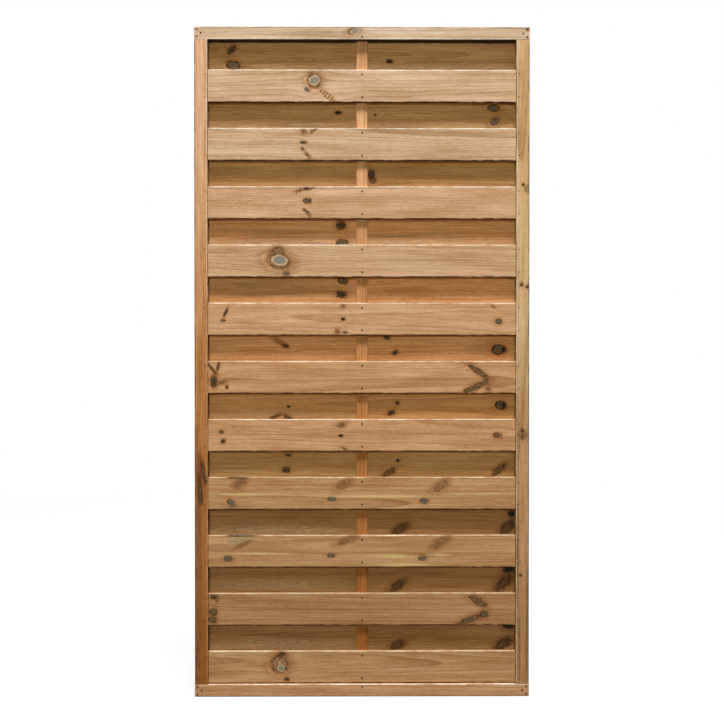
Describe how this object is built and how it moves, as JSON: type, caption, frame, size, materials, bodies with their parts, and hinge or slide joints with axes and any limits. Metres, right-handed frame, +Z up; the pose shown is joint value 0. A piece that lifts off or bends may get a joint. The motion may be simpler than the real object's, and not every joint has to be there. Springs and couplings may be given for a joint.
{
  "type": "timber fence panel",
  "caption": "Tall narrow hit-and-miss timber fence panel: horizontal slats in two staggered layers on a muntin, housed in a grooved frame.",
  "frame": {"origin": "middle of the panel's bottom edge, at half its depth", "axes": "+X along the panel to the right of a viewer in front, +Y from front to back, +Z up"},
  "size_m": [0.9, 0.042, 1.8],
  "materials": {
    "rail_timber": "planed, pressure treated, honey brown",
    "stile_timber": "planed, pressure treated, orange brown",
    "muntin_timber": "planed, pressure treated, orange brown",
    "front_slat_timber": "planed, pressure treated, knotty, honey brown",
    "back_slat_timber": "planed, pressure treated, knotty, honey brown",
    "brad_wire": "dull coated steel wire"
  },
  "bodies": {
    "root": {"top_rail": "rail_timber", "bottom_rail": "rail_timber", "left_stile": "stile_timber", "right_stile": "stile_timber", "muntin": "muntin_timber", "front_slat_01": "front_slat_timber", "front_slat_02": "front_slat_timber", "front_slat_03": "front_slat_timber", "front_slat_04": "front_slat_timber", "front_slat_05": "front_slat_timber", "front_slat_06": "front_slat_timber", "front_slat_07": "front_slat_timber", "front_slat_08": "front_slat_timber", "front_slat_09": "front_slat_timber", "front_slat_10": "front_slat_timber", "front_slat_11": "front_slat_timber", "back_slat_01": "back_slat_timber", "back_slat_02": "back_slat_timber", "back_slat_03": "back_slat_timber", "back_slat_04": "back_slat_timber", "back_slat_05": "back_slat_timber", "back_slat_06": "back_slat_timber", "back_slat_07": "back_slat_timber", "back_slat_08": "back_slat_timber", "back_slat_09": "back_slat_timber", "back_slat_10": "back_slat_timber", "back_slat_11": "back_slat_timber", "front_slat_end_brads": "brad_wire", "back_slat_end_brads": "brad_wire", "front_muntin_brads": "brad_wire", "back_muntin_brads": "brad_wire", "corner_joint_brads": "brad_wire", "muntin_end_brads": "brad_wire"}
  },
  "joints": []
}
